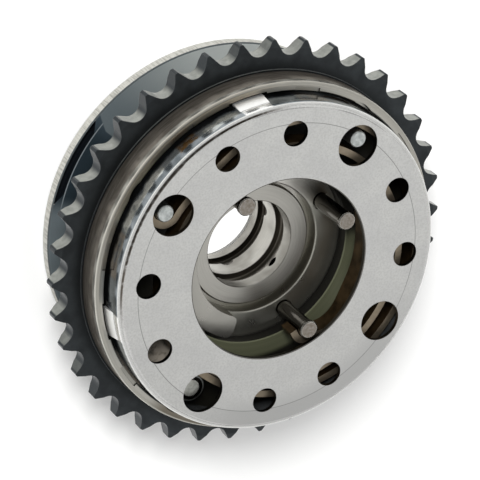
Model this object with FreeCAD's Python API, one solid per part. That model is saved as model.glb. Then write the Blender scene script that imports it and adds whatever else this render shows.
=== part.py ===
import FreeCAD, Part
import math
import os

# Vane-type cam phaser lying on the back of its trigger wheel. Millimetres, +Z up through the
# front cover, origin on the axis at the rear face. Angles run counter-clockwise seen from the
# front and start at one of the small cover holes.

V = FreeCAD.Vector

# Stack along the axis, from the rear face up
trigger_thick = 2.9
neck_length = 3.9
rear_plate_thick = 3.6
chamber_depth = 12.1
front_plate_thick = 3.2
rim_height = 3.5
cover_standoff = 9.5
axial_play = 0.15

trigger_front = trigger_thick
rear_plate_back = trigger_front + neck_length
chamber_back = rear_plate_back + rear_plate_thick
chamber_front = chamber_back + chamber_depth
plate_front = chamber_front + front_plate_thick
rim_top = plate_front + rim_height
cover_front = plate_front + cover_standoff

# Radii, from the bore outwards: each is the last one and a named step
bore_r = 10.6
sleeve_wall = 4.3
recess_step = 1.0
pin_inset = 3.0
boss_margin = 2.7
hub_step = 2.4
neck_step = 1.8
plate_bore_step = 0.6
cover_hole_step = 0.16

sleeve_r = bore_r + sleeve_wall
recess_r = sleeve_r + recess_step
pin_circle_r = recess_r + pin_inset
boss_r = pin_circle_r + boss_margin
hub_r = boss_r + hub_step
neck_r = boss_r - neck_step
plate_bore_r = boss_r + plate_bore_step
cover_hole_r = boss_r + cover_hole_step

# Spring pins
pin_angles = [31.3, 121.7, 300.9]
pin_r = 1.85
pin_head_extra = 0.3
pin_head_height = 1.0
pin_round = 0.25
pin_planted = 6.0
pin_relief = 0.25
pin_relief_depth = 0.5
pin_tip_drop = 0.2

# Spiral return spring: the route of the strip's middle, from the last pin out to the hanger,
# as angle and share of the way from the innermost to the outermost radius
strip_thick = 1.7
strip_height = 4.4
strip_top_drop = 2.6
strip_gap = 0.2
strip_outer_clearance = 0.6
spring_band = 15.35
route = [
    (314.0, 0.185), (332.0, 0.155), (352.0, 0.143), (373.0, 0.16), (415.0, 0.31), (450.0, 0.275),
    (480.0, 0.195), (510.0, 0.16), (555.0, 0.24), (605.0, 0.385), (655.0, 0.625), (688.0, 0.695),
    (720.0, 0.69), (770.0, 0.55), (805.0, 0.445), (837.0, 0.37), (875.0, 0.31), (915.0, 0.365),
    (945.0, 0.455), (962.0, 0.495), (990.0, 0.675), (1020.0, 0.85), (1048.0, 0.96), (1085.0, 1.0),
    (1118.0, 0.995), (1142.0, 0.97), (1163.0, 0.85), (1190.0, 0.675), (1212.0, 0.515),
]
tab_length = 1.3
hook_slack = 0.9
hook_end_angle = 40.0
strip_inner_r = pin_circle_r + pin_r + strip_gap + strip_thick / 2.0
strip_outer_r = strip_inner_r + spring_band

# Pressed cover round the spring
cover_sheet = 1.0
cover_r = strip_outer_r + strip_thick / 2.0 + strip_outer_clearance + cover_sheet
cover_inner_bend = 0.2
cover_bend_r = cover_sheet + cover_inner_bend
clip_angles = [13.5, 103.5, 195.0, 283.5]
clip_half_angle = 5.2
clip_reach = 0.6
clip_top_drop = 2.6
clip_low_drop = 6.9

# Hole and screw pattern, shared by the cover, both plates and the housing
hole_inset = 7.1
hole_circle_r = cover_r - hole_inset
hole_count = 12
large_hole_r = 4.9
small_hole_r = 3.0
first_large_angle = 60.0
screw_offset = 1.2
screw_circle_r = hole_circle_r + screw_offset
screw_shank_r = 1.95
screw_clearance = 0.1
screw_head_r = 3.2
screw_head_height = 2.4
head_clearance = 0.15
screw_angles = {"first_hanger": 60.0, "second_hanger": 151.0, "stop": 240.0, "short": 330.0}
hanger_tip_drop = 0.9
stop_end_r = 2.2
stop_collar_r = 3.35
stop_collar_wall = 0.5
stop_groove_depth = 0.8
stop_tip_drop = 4.5

# Front plate and its rim
rim_play = 0.5
rim_wall = 2.1
rim_inner_r = cover_r + rim_play
rim_outer_r = rim_inner_r + rim_wall
rim_round = 0.8
scallop_half_angle = 4.0
scallop_depth = 0.65
clip_slot_half_angle = 6.6
clip_slot_depth = clip_reach
notch_drop = 1.4
mark_offset_angle = 22.5
mark_half_angle = 4.5
mark_width = 0.9
mark_depth = 0.3

# Chain sprocket and housing
tooth_count = 38
chain_pitch = 8.0
roller_seat_r = 2.6
seat_half_angle = 54.0
tooth_rise = 0.8
tip_round = 0.18
pitch_r = chain_pitch / 2.0 / math.sin(math.pi / tooth_count)
tip_r = pitch_r + tooth_rise
first_tip_angle = 4.65
sprocket_thick = 3.7
sprocket_step = 0.3
land_step = 0.4
tooth_chamfer = 0.55
tooth_chamfer_width = 1.6
plate_margin = 0.45
housing_r = screw_circle_r + screw_head_r + head_clearance + plate_margin
housing_edge = 0.8
housing_wall = 5.3
chamber_r = housing_r - housing_wall
lobe_clearance = 0.2
lobe_inner_r = hub_r + lobe_clearance
lobe_half_angle = 13.0

# Rotor
vane_clearance = 0.25
vane_tip_r = chamber_r - vane_clearance
vane_half_angle = 7.0
turn_range = 32.0
stop_play = 0.6
wide_half_angle = (90.0 - 2.0 * lobe_half_angle - turn_range - stop_play) / 2.0
first_vane_angle = first_large_angle - lobe_half_angle - stop_play / 2.0 - wide_half_angle
vane_angles = [first_vane_angle + 90.0 * i for i in range(4)]
lock_angle = vane_angles[2]
boss_rise = 0.4
neck_clearance = 0.1
recess_depth = 3.1
recess_edge = 0.25
pad_margin = 0.3
pad_start_angle = 167.2
pad_end_angle = 256.0
pad_rise = 3.1
pad_corner = 1.6

# Hub sleeve
sleeve_below_face = 2.0
bore_chamfer = 0.15
groove_depth = 1.5
front_groove = (13.6, 17.4)
rear_groove = (4.9, 8.0)
pilot_step = 1.9
pilot_depth = 2.6
oil_hole_r = 1.65
oil_offset_angle = 20.0
rear_oil_slope = 33.0
press_gap = 0.01

# Trigger wheel
trigger_r = 41.8
trigger_edge = 0.3
pocket_rim = 0.3
pocket_width = 1.9
pocket_slant = 3.8
pocket_start_angle = 141.0
pocket_end_angle = 171.0
pocket_depth = 1.7
pocket_corner = 0.9

# Seals and the leaf springs under them
seal_width = 1.5
seal_height = 1.9
seal_clearance = 0.1
slot_play = 0.1
leaf_thick = 0.2
leaf_space = 0.7
leaf_length = 9.0

# Lock pin in the wide vane and its ramped seat
lock_pin_r = 2.65
lock_bore_play = 0.05
lock_bore_wall = 0.6
seal_slot_floor = chamber_r - seal_clearance - seal_height - leaf_space
lock_circle_r = seal_slot_floor - lock_bore_wall - lock_bore_play - lock_pin_r
lock_nose_chamfer = 0.35
lock_engagement = 1.4
lock_pin_length = 7.4
lock_cup_r = 1.9
lock_cup_depth = 4.0
lock_bore_end = 2.0
lock_stroke = 2.2
lock_wire_r = 0.28
lock_coil_r = 1.45
lock_turns = 5
seat_flange_r = 2.3
seat_flange_height = 0.8
seat_peg_r = 0.85
seat_peg_length = 1.6
seat_insert_thick = 3.0
seat_wall = 1.8
seat_play = 0.15
ramp_floor_gap = 0.6


def at(radius, angle, z=0.0):
    a = math.radians(angle)
    return V(radius * math.cos(a), radius * math.sin(a), z)


def disc(radius, z0, z1, centre=V(0, 0, 0)):
    return Part.makeCylinder(radius, z1 - z0, V(centre.x, centre.y, z0))


def revolved(points):
    profile = Part.makePolygon([V(r, 0, z) for r, z in points + points[:1]])
    return Part.Face(profile).revolve(V(0, 0, 0), V(0, 0, 1), 360)


def arc_edge(radius, start, end, z, centre=V(0, 0, 0)):
    a, b, c = (centre + at(radius, angle, z) for angle in (start, (start + end) / 2.0, end))
    return Part.Arc(a, b, c).toShape()


def line_edge(a, b):
    return Part.LineSegment(a, b).toShape()


def extruded(edges, height):
    return Part.Face(Part.Wire(edges)).extrude(V(0, 0, height))


def sector(inner, outer, start, end, z0, z1):
    """A block between two radii and two angles."""
    edges = [
        arc_edge(outer, start, end, z0),
        line_edge(at(outer, end, z0), at(inner, end, z0)),
        arc_edge(inner, end, start, z0),
        line_edge(at(inner, start, z0), at(outer, start, z0)),
    ]
    return extruded(edges, z1 - z0)


def curved_slot(circle_r, half_width, start, end, z0, z1):
    """A slot along an arc of the circle, with round ends past both angles."""
    block = sector(circle_r - half_width, circle_r + half_width, start, end, z0, z1)
    ends = [disc(half_width, z0, z1, at(circle_r, angle)) for angle in (start, end)]
    return block.fuse(ends).removeSplitter()


def bar(radius_in, radius_out, width, angle, z0, z1):
    """A straight bar that points outwards at the angle."""
    shape = Part.makeBox(radius_out - radius_in, width, z1 - z0, V(radius_in, -width / 2.0, z0))
    return turned(shape, angle)


def turned(shape, angle):
    copy = shape.copy()
    copy.rotate(V(0, 0, 0), V(0, 0, 1), angle)
    return copy


def upright_edges(shape, inside_r, outside_r):
    """Straight edges along Z whose middles lie between two radii."""
    found = []
    for edge in shape.Edges:
        a, b = edge.Vertexes[0].Point, edge.Vertexes[-1].Point
        level = math.hypot(a.x, a.y)
        upright = math.hypot(a.x - b.x, a.y - b.y) < 1e-6 and abs(a.z - b.z) > 1e-3
        if upright and inside_r <= level <= outside_r:
            found.append(edge)
    return found


def large_hole_angles():
    return [first_large_angle + 90.0 * i for i in range(4)]


def small_hole_angles():
    step = 360.0 / hole_count
    return [step * i for i in range(hole_count) if (step * i - first_large_angle) % 90.0 > 1.0]


def lobe_angles():
    return [first_large_angle + 90.0 * i for i in range(4)]


def spring_cover():
    inner_bend = cover_bend_r - cover_sheet
    bend_r = cover_r - cover_bend_r
    bend_z = cover_front - cover_bend_r
    low = plate_front
    centre = V(bend_r, 0, bend_z)

    def bend(radius, start, end):
        pts = [centre + V(radius * math.cos(math.radians(a)), 0, radius * math.sin(math.radians(a)))
               for a in (start, (start + end) / 2.0, end)]
        return Part.Arc(*pts).toShape()

    lip = cover_sheet * 0.1
    under = cover_front - cover_sheet
    inner_r = cover_r - cover_sheet
    edges = [
        line_edge(V(cover_hole_r, 0, under), V(cover_hole_r, 0, cover_front - lip)),
        line_edge(V(cover_hole_r, 0, cover_front - lip), V(cover_hole_r + lip, 0, cover_front)),
        line_edge(V(cover_hole_r + lip, 0, cover_front), V(bend_r, 0, cover_front)),
        bend(cover_bend_r, 90, 0),
        line_edge(V(cover_r, 0, bend_z), V(cover_r, 0, low)),
        line_edge(V(cover_r, 0, low), V(inner_r, 0, low)),
        line_edge(V(inner_r, 0, low), V(inner_r, 0, bend_z)),
        bend(inner_bend, 0, 90),
        line_edge(V(bend_r, 0, under), V(cover_hole_r, 0, under)),
    ]
    shell = Part.Face(Part.Wire(edges)).revolve(V(0, 0, 0), V(0, 0, 1), 360)
    clips = [clip_tab(angle) for angle in clip_angles]
    holes = []
    for radius, angles in ((large_hole_r, large_hole_angles()), (small_hole_r, small_hole_angles())):
        holes += [disc(radius, under - 1, cover_front + 1, at(hole_circle_r, a)) for a in angles]
    return shell.fuse(clips).cut(holes).removeSplitter()


def clip_tab(angle):
    """A tongue of the skirt, lanced and bent out towards the rim."""
    top = cover_front - clip_top_drop
    low = cover_front - clip_low_drop
    out = cover_r + clip_reach
    profile = [(cover_r - cover_sheet / 2.0, top), (cover_r, top), (out, low + 1.0), (out, low),
               (cover_r - cover_sheet / 2.0, low)]
    wire = Part.makePolygon([V(r, 0, z) for r, z in profile + profile[:1]])
    tab = Part.Face(wire).revolve(V(0, 0, 0), V(0, 0, 1), 2.0 * clip_half_angle)
    return turned(tab, angle - clip_half_angle)


def front_plate():
    edge = 0.25
    shape = revolved([
        (plate_bore_r, chamber_front), (rim_outer_r, chamber_front), (rim_outer_r, rim_top),
        (rim_inner_r + edge, rim_top), (rim_inner_r, rim_top - edge), (rim_inner_r, plate_front),
        (plate_bore_r + edge, plate_front), (plate_bore_r, plate_front - edge),
    ])
    outer_top = [e for e in shape.Edges if abs(e.BoundBox.ZMin - rim_top) < 1e-6
                 and e.BoundBox.XMax > rim_outer_r - 1e-3]
    shape = shape.makeFillet(rim_round, outer_top)
    cuts = []
    for angle in clip_angles:
        cuts.append(sector(rim_inner_r - 1.0, rim_inner_r + clip_slot_depth, angle - clip_slot_half_angle,
                           angle + clip_slot_half_angle, rim_top - notch_drop, rim_top + 1.0))
    for middle in large_hole_angles():
        cuts.append(rim_scallop(middle))
        for side in (-1, 1):
            a = middle + side * mark_offset_angle
            cuts.append(sector(rim_inner_r - 1.0, rim_inner_r + mark_width, a - mark_half_angle,
                               a + mark_half_angle, rim_top - mark_depth, rim_top + 1.0))
    cuts += [screw_hole(name, chamber_front - 1.0, plate_front + 1.0) for name in screw_angles]
    return shape.cut(cuts)


def rim_scallop(angle):
    """Shallow round notch in the rim's inner edge."""
    half_width = rim_inner_r * math.sin(math.radians(scallop_half_angle))
    radius = (half_width ** 2 + scallop_depth ** 2) / (2.0 * scallop_depth)
    centre = at(rim_inner_r + scallop_depth - radius, angle)
    return disc(radius, rim_top - notch_drop, rim_top + 1.0, centre)


def screw_hole(name, z0, z1, clearance=0.0):
    return disc(screw_shank_r + clearance, z0, z1, at(screw_circle_r, screw_angles[name]))


def tooth_outline(z):
    """The sprocket's edges: round roller seats, straight flanks and rounded tips."""
    flank_end_r = tip_r - tip_round
    step = 360.0 / tooth_count
    spread = math.radians(seat_half_angle)
    edges = []
    for i in range(tooth_count):
        gap = first_tip_angle + step * (i + 0.5)
        seat = [V(pitch_r - roller_seat_r * math.cos(s), roller_seat_r * math.sin(s), z)
                for s in (-spread, 0.0, spread)]
        run = (flank_end_r - seat[0].x) / math.sin(spread)
        reach = roller_seat_r * math.sin(spread) + run * math.cos(spread)
        left, right = V(flank_end_r, -reach, z), V(flank_end_r, reach, z)
        tip = at(tip_r, gap + step / 2.0, z)
        turn = FreeCAD.Rotation(V(0, 0, 1), gap)
        ahead = FreeCAD.Rotation(V(0, 0, 1), gap + step)
        a, b, c, d, e = (turn.multVec(p) for p in (left, seat[0], seat[1], seat[2], right))
        edges += [line_edge(a, b), Part.Arc(b, c, d).toShape(), line_edge(d, e)]
        edges.append(Part.Arc(e, tip, ahead.multVec(left)).toShape())
    return edges


def sprocket_blank():
    top = chamber_front - sprocket_step
    low = top - sprocket_thick
    teeth = extruded(tooth_outline(low), sprocket_thick)
    far = tip_r + 1.0
    near = tip_r - tooth_chamfer_width
    drop = tooth_chamfer * (far - near) / tooth_chamfer_width
    envelope = revolved([(0.0, low), (near, low), (far, low + drop), (far, top - drop), (near, top),
                         (0.0, top)])
    return teeth.common(envelope)


def sprocket_housing():
    body = disc(housing_r, chamber_back, chamber_front)
    rim_edge = [e for e in body.Edges if abs(e.BoundBox.ZMax - chamber_back) < 1e-6]
    body = body.makeChamfer(housing_edge, rim_edge)
    land = disc(rim_outer_r + land_step, chamber_front - sprocket_step - 1.0, chamber_front)
    shape = sprocket_blank().fuse([body, land]).cut(disc(chamber_r, chamber_back - 1, chamber_front + 1))
    lobes = [sector(lobe_inner_r, chamber_r + 1.0, a - lobe_half_angle, a + lobe_half_angle,
                    chamber_back, chamber_front) for a in lobe_angles()]
    shape = shape.fuse(lobes)
    low, top = chamber_back - 1.0, chamber_front + 1.0
    cuts = [screw_hole(name, low, top, screw_clearance) for name in screw_angles]
    slot_end = lobe_inner_r - seal_clearance + seal_height + leaf_space
    for angle in lobe_angles():
        cuts.append(bar(lobe_inner_r - 1.0, slot_end, seal_width + slot_play, angle, low, top))
    return shape.cut(cuts).removeSplitter()


def rear_plate():
    edge = 0.25
    inner = neck_r + neck_clearance
    shape = revolved([
        (inner, rear_plate_back), (housing_r - edge, rear_plate_back),
        (housing_r, rear_plate_back + edge), (housing_r, chamber_back), (inner, chamber_back),
    ])
    low, seat = rear_plate_back - 1.0, rear_plate_back + screw_head_height
    cuts = [screw_hole(name, low, chamber_back + 1.0, screw_clearance) for name in screw_angles]
    for angle in screw_angles.values():
        cuts.append(disc(screw_head_r + head_clearance, low, seat, at(screw_circle_r, angle)))
    cuts.append(seat_outline(seat_wall + press_gap, chamber_back - seat_insert_thick, chamber_back + 1.0))
    return shape.cut(cuts)


def ramp_span():
    """How far the lock slot runs, in degrees, before the pin's nose is clear of it."""
    rise_per_mm = lock_stroke / (math.radians(turn_range) * lock_circle_r)
    length = (lock_engagement + ramp_floor_gap) / rise_per_mm
    return math.degrees(length / lock_circle_r)


def seat_outline(wall, z0, z1):
    middle = lock_angle
    half = lock_pin_r + seat_play + wall
    return curved_slot(lock_circle_r, half, middle - ramp_span(), middle, z0, z1)


def lock_seat():
    """Insert whose slot climbs as steeply as the pin is drawn back."""
    insert = seat_outline(seat_wall, chamber_back - seat_insert_thick, chamber_back)
    slot = seat_outline(0.0, chamber_back - seat_insert_thick - 1.0, chamber_back + 1.0)
    rise = lock_stroke / (math.radians(turn_range) * lock_circle_r)
    depth = lock_engagement + ramp_floor_gap
    reach = 40.0
    # the floor in the pin's own directions: y runs back along the pin's path
    floor = [V(-reach, -reach, chamber_back - depth + rise * reach),
             V(-reach, reach, chamber_back - depth - rise * reach),
             V(-reach, reach, chamber_back + reach), V(-reach, -reach, chamber_back + reach)]
    above = Part.Face(Part.makePolygon(floor + floor[:1])).extrude(V(2.0 * reach, 0, 0))
    above.translate(V(lock_circle_r, 0, 0))
    return insert.cut(slot.common(turned(above, lock_angle)))


def rotor():
    low, top = chamber_back + axial_play, chamber_front - axial_play
    face = chamber_front + boss_rise
    shape = disc(hub_r, low, top)
    boss = revolved([(0.0, top - 1.0), (boss_r, top - 1.0), (boss_r, face), (recess_r + recess_edge, face),
                     (recess_r, face - recess_edge), (0.0, face - recess_edge)])
    parts = [boss, disc(neck_r, trigger_front, low + 1.0)]
    for angle in vane_angles:
        half = wide_half_angle if angle == lock_angle else vane_half_angle
        parts.append(sector(hub_r - 2.0, vane_tip_r, angle - half, angle + half, low, top))
    parts.append(spring_pad(face - 1.0, face + pad_rise))
    shape = shape.fuse(parts).removeSplitter()
    cuts = [disc(sleeve_r + press_gap, trigger_front - 1.0, face + 1.0),
            disc(recess_r, face - recess_depth, face + pad_rise + 1.0)]
    for angle in vane_angles:
        slot = bar(seal_slot_floor, vane_tip_r + 2.0, seal_width + slot_play, angle, low - 1.0, top + 1.0)
        cuts.append(slot)
    for angle in pin_angles:
        cuts.append(disc(pin_r, face - pin_planted, face + 1.0, at(pin_circle_r, angle)))
        cuts.append(disc(pin_r + pin_relief, face - pin_relief_depth, face + 1.0, at(pin_circle_r, angle)))
    lock_at = at(lock_circle_r, lock_angle)
    cuts.append(disc(lock_pin_r + lock_bore_play, low - 1.0, top - lock_bore_end, lock_at))
    cuts += oil_passages()
    return shape.cut(cuts)


def spring_pad(z0, z1):
    """Raised arc that backs the innermost turn where the pattern has no pin."""
    outer = boss_r - pad_margin
    pad = sector(recess_r, outer, pad_start_angle, pad_end_angle, z0, z1)
    return pad.makeFillet(pad_corner, upright_edges(pad, recess_r - 0.1, outer + 0.1))


def oil_passages():
    """Drillings from the sleeve's two grooves to each side of every vane."""
    front_z = front_groove[1] - oil_hole_r * 0.2
    rear_z = rear_groove[1] - oil_hole_r * 0.6
    slope = math.radians(rear_oil_slope)
    drillings = []
    for angle in vane_angles:
        for side, z, climb in ((1, front_z, 0.0), (-1, rear_z, slope)):
            direction = at(1.0, angle + side * oil_offset_angle)
            start = direction * (bore_r - 0.6)
            length = (hub_r + 1.8 - bore_r) / math.cos(climb)
            axis = V(direction.x * math.cos(climb), direction.y * math.cos(climb), math.sin(climb))
            drillings.append(Part.makeCylinder(oil_hole_r, length, V(start.x, start.y, z), axis))
    return drillings


def hub_sleeve():
    top = chamber_front + boss_rise - sleeve_below_face
    edge = 0.3
    groove_r = bore_r + groove_depth
    pilot_r = bore_r + pilot_step
    shape = revolved([
        (pilot_r, 0.0), (sleeve_r, 0.0), (sleeve_r, top - edge), (sleeve_r - edge, top),
        (bore_r + bore_chamfer, top), (bore_r, top - bore_chamfer),
        (bore_r, front_groove[1]), (groove_r, front_groove[1] - 0.8), (groove_r, front_groove[0]),
        (bore_r, front_groove[0]), (bore_r, rear_groove[1]), (groove_r, rear_groove[1] - 0.6),
        (groove_r, rear_groove[0]), (bore_r, rear_groove[0]), (bore_r, pilot_depth), (pilot_r, pilot_depth),
    ])
    return shape.cut(oil_passages())


def trigger_wheel():
    shape = revolved([
        (sleeve_r + press_gap, 0.0), (trigger_r - trigger_edge, 0.0), (trigger_r, trigger_edge),
        (trigger_r, trigger_front - trigger_edge), (trigger_r - trigger_edge, trigger_front),
        (sleeve_r + press_gap, trigger_front),
    ])
    outer = trigger_r - pocket_rim
    inner = outer - pocket_width
    start, end, floor = pocket_start_angle, pocket_end_angle, trigger_front - pocket_depth
    near, far = start + pocket_slant, end - pocket_slant
    edges = [arc_edge(outer, start, end, floor), line_edge(at(outer, end, floor), at(inner, far, floor)),
             arc_edge(inner, near, far, floor), line_edge(at(inner, near, floor), at(outer, start, floor))]
    pocket = extruded(edges, pocket_depth + 1.0)
    pocket = pocket.makeFillet(pocket_corner, upright_edges(pocket, inner - 0.1, outer - pocket_width / 2.0))
    return shape.cut(pocket)


def spring_pins():
    """Three headed pins; the innermost turn of the spring hooks on the last."""
    face = chamber_front + boss_rise
    low, tip = face - pin_planted, cover_front - pin_tip_drop
    neck = tip - pin_head_height
    pin_head_r = pin_r + pin_head_extra
    pin = revolved([
        (0.0, low), (pin_r, low), (pin_r, neck - pin_round), (pin_head_r, neck),
        (pin_head_r, tip - pin_round), (pin_head_r - pin_round, tip), (0.0, tip),
    ])
    pins = []
    for angle in pin_angles:
        copy = pin.copy()
        copy.translate(at(pin_circle_r, angle))
        pins.append(copy)
    return Part.makeCompound(pins)


def housing_screw(angle, tip, end_profile):
    """A screw with its head sunk in the rear plate and the given end above the front plate."""
    low = rear_plate_back + 0.1
    under_head = rear_plate_back + screw_head_height
    socket_r, socket_depth = screw_head_r * 0.5, screw_head_height * 0.6
    shape = revolved([(0.0, low), (screw_head_r - 0.3, low), (screw_head_r, low + 0.3),
                      (screw_head_r, under_head), (screw_shank_r, under_head)] + end_profile + [(0.0, tip)])
    socket = Part.makePolygon([at(socket_r, 60.0 * i, low - 1.0) for i in range(7)])
    shape = shape.cut(Part.Face(socket).extrude(V(0, 0, socket_depth + 1.0)))
    shape.translate(at(screw_circle_r, angle))
    return shape


def hanger_screws():
    tip = cover_front - hanger_tip_drop
    edge = 0.25
    end = [(screw_shank_r, tip - edge), (screw_shank_r - edge, tip)]
    return Part.makeCompound([housing_screw(screw_angles[name], tip, end)
                              for name in ("first_hanger", "second_hanger")])


def stop_screw():
    tip = cover_front - stop_tip_drop
    edge = 0.2
    groove = tip - stop_groove_depth
    end = [(screw_shank_r, plate_front), (stop_collar_r, plate_front), (stop_collar_r, tip - edge),
           (stop_collar_r - edge, tip), (stop_collar_r - stop_collar_wall, tip),
           (stop_collar_r - stop_collar_wall, groove), (stop_end_r, groove), (stop_end_r, tip - edge),
           (stop_end_r - edge, tip)]
    return housing_screw(screw_angles["stop"], tip, end)


def short_screw():
    tip = plate_front - 0.2
    return housing_screw(screw_angles["short"], tip, [(screw_shank_r, tip)])


def strip_route():
    """Middle line of the spring strip: tab, bend round the last pin, turns, hook round a hanger."""
    z = cover_front - strip_top_drop - strip_height
    reach = strip_gap + strip_thick / 2.0
    turns = [at(strip_inner_r + share * spring_band, angle, z) for angle, share in route]

    pin_angle = pin_angles[-1]
    pin = at(pin_circle_r, pin_angle, z)
    loop = pin + at(hook_slack, pin_angle)
    bend = [loop + at(pin_r + reach, pin_angle + a) for a in (-90.0, -45.0, 0.0)]
    tab_end = bend[0] + at(tab_length, pin_angle + 180.0)

    hanger_angle = screw_angles["second_hanger"]
    hanger = at(screw_circle_r, hanger_angle, z)
    hook_r = screw_shank_r + reach
    slack = at(hook_slack, hanger_angle + 180.0)
    hook = [hanger + slack + at(hook_r, hanger_angle + a) for a in (180.0, 135.0, 90.0)]
    tail_angles = (90.0, (90.0 + hook_end_angle) / 2.0, hook_end_angle)
    tail = [hanger + at(hook_r, hanger_angle + a) for a in tail_angles]

    first, last = at(1.0, pin_angle + 90.0), at(1.0, hanger_angle + 90.0)
    curve = smooth_curve([bend[2]] + turns + [hook[0]], first, last)
    return [[tab_end, bend[0]], bend, curve, hook, [hook[2], tail[0]], tail]


def smooth_curve(points, first, last):
    """A curve through the points that starts and ends along two unit vectors."""
    lengths = [0.0]
    for a, b in zip(points, points[1:]):
        lengths.append(lengths[-1] + a.distanceToPoint(b))
    curve = Part.BSplineCurve()
    curve.interpolate(Points=points, Parameters=lengths, InitialTangent=first, FinalTangent=last, Scale=False)
    return curve


def shifted(segment, distance):
    """A line, arc or curve of the route moved sideways, to the left for a positive distance."""
    if isinstance(segment, Part.BSplineCurve):
        samples = segment.discretize(Number=110)
        along = [segment.tangent(segment.parameter(p))[0] for p in samples]
        points = [p + V(-t.y, t.x, 0) * distance for p, t in zip(samples, along)]
        return smooth_curve(points, along[0], along[-1]).toShape(), points[0], points[-1]
    if len(segment) == 2:
        way = (segment[1] - segment[0]).normalize()
        a, b = (p + V(-way.y, way.x, 0) * distance for p in segment)
        return line_edge(a, b), a, b
    circle = Part.Arc(*segment).toShape().Curve
    centre = circle.Center
    turns_left = (segment[0] - centre).cross(segment[1] - segment[0]).z > 0
    factor = 1.0 + (-distance if turns_left else distance) / circle.Radius
    a, m, b = (centre + (p - centre) * factor for p in segment)
    return Part.Arc(a, m, b).toShape(), a, b


def return_spring():
    half = strip_thick / 2.0
    segments = strip_route()
    left = [shifted(segment, half) for segment in segments]
    right = [shifted(segment, -half) for segment in segments]
    edges = [side[0] for side in left + right]
    edges += [line_edge(left[0][1], right[0][1]), line_edge(left[-1][2], right[-1][2])]
    return extruded(Part.__sortEdges__(edges), strip_height)


def vane_seal(angle):
    outer = chamber_r - seal_clearance
    low, top = chamber_back + axial_play, chamber_front - axial_play
    return bar(outer - seal_height, outer, seal_width, angle, low, top)


def lobe_seal(angle):
    inner = lobe_inner_r - seal_clearance
    return bar(inner, inner + seal_height, seal_width, angle, chamber_back + 0.05, chamber_front - 0.05)


def leaf_spring(inner, angle, bow_out):
    """A bowed leaf that fills the space between a slot's floor and its seal."""
    middle = (chamber_back + chamber_front) / 2.0
    ends = (middle - leaf_length / 2.0, middle + leaf_length / 2.0)
    foot, crown = (inner, inner + leaf_space - leaf_thick)
    if not bow_out:
        foot, crown = crown, foot
    width = seal_width - 0.2
    y = -width / 2.0
    near = Part.Arc(V(foot, y, ends[0]), V(crown, y, middle), V(foot, y, ends[1])).toShape()
    far = Part.Arc(V(foot + leaf_thick, y, ends[1]), V(crown + leaf_thick, y, middle),
                   V(foot + leaf_thick, y, ends[0])).toShape()
    caps = [line_edge(V(foot, y, ends[1]), V(foot + leaf_thick, y, ends[1])),
            line_edge(V(foot + leaf_thick, y, ends[0]), V(foot, y, ends[0]))]
    leaf = Part.Face(Part.Wire([near, caps[0], far, caps[1]])).extrude(V(0, width, 0))
    return turned(leaf, angle)


def lock_pin():
    low = chamber_back - lock_engagement
    top = low + lock_pin_length
    shape = revolved([
        (0.0, low), (lock_pin_r - lock_nose_chamfer, low), (lock_pin_r, low + lock_nose_chamfer),
        (lock_pin_r, top), (lock_cup_r, top), (lock_cup_r, top - lock_cup_depth), (0.0, top - lock_cup_depth),
    ])
    shape.translate(at(lock_circle_r, lock_angle))
    return shape


def lock_bore_top():
    return chamber_front - axial_play - lock_bore_end


def lock_spring_seat():
    top = lock_bore_top()
    under = top - seat_flange_height
    shape = revolved([(0.0, under - seat_peg_length), (seat_peg_r, under - seat_peg_length),
                      (seat_peg_r, under), (seat_flange_r, under), (seat_flange_r, top), (0.0, top)])
    shape.translate(at(lock_circle_r, lock_angle))
    return shape


def lock_spring():
    low = chamber_back - lock_engagement + lock_pin_length - lock_cup_depth + lock_wire_r + 0.02
    high = lock_bore_top() - seat_flange_height - lock_wire_r - 0.02
    height = high - low
    helix = Part.makeHelix(height / lock_turns, height, lock_coil_r)
    section = Part.Wire(Part.makeCircle(lock_wire_r, V(lock_coil_r, 0, 0), V(0, 1, 0)))
    coil = Part.Wire(helix).makePipeShell([section], True, True)
    centre = at(lock_circle_r, lock_angle)
    coil.translate(V(centre.x, centre.y, low))
    return coil


def build():
    pieces = {
        "spring_cover": spring_cover(), "front_plate": front_plate(),
        "sprocket_housing": sprocket_housing(), "rear_plate": rear_plate(), "lock_seat": lock_seat(),
        "rotor": rotor(), "hub_sleeve": hub_sleeve(), "trigger_wheel": trigger_wheel(),
        "spring_pins": spring_pins(), "hanger_screws": hanger_screws(), "stop_screw": stop_screw(),
        "short_screw": short_screw(), "return_spring": return_spring(), "lock_pin": lock_pin(),
        "lock_spring": lock_spring(), "lock_spring_seat": lock_spring_seat(),
    }
    seal_bottom = chamber_r - seal_clearance - seal_height
    lobe_bottom = lobe_inner_r - seal_clearance + seal_height
    for i in range(4):
        pieces["vane_seal_%d" % (i + 1)] = vane_seal(vane_angles[i])
        pieces["vane_seal_spring_%d" % (i + 1)] = leaf_spring(seal_bottom - leaf_space, vane_angles[i], True)
        pieces["lobe_seal_%d" % (i + 1)] = lobe_seal(lobe_angles()[i])
        pieces["lobe_seal_spring_%d" % (i + 1)] = leaf_spring(lobe_bottom, lobe_angles()[i], False)
    return pieces


os.makedirs("parts", exist_ok=True)
for name, shape in build().items():
    shape.exportStep(os.path.join("parts", name + ".step"))
    print(name, len(shape.Solids), "solids, valid", shape.isValid(), "volume %.1f" % shape.Volume)
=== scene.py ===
import bisect
import math
from types import SimpleNamespace

import bmesh
import bpy
from mathutils import Matrix, Vector


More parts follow.
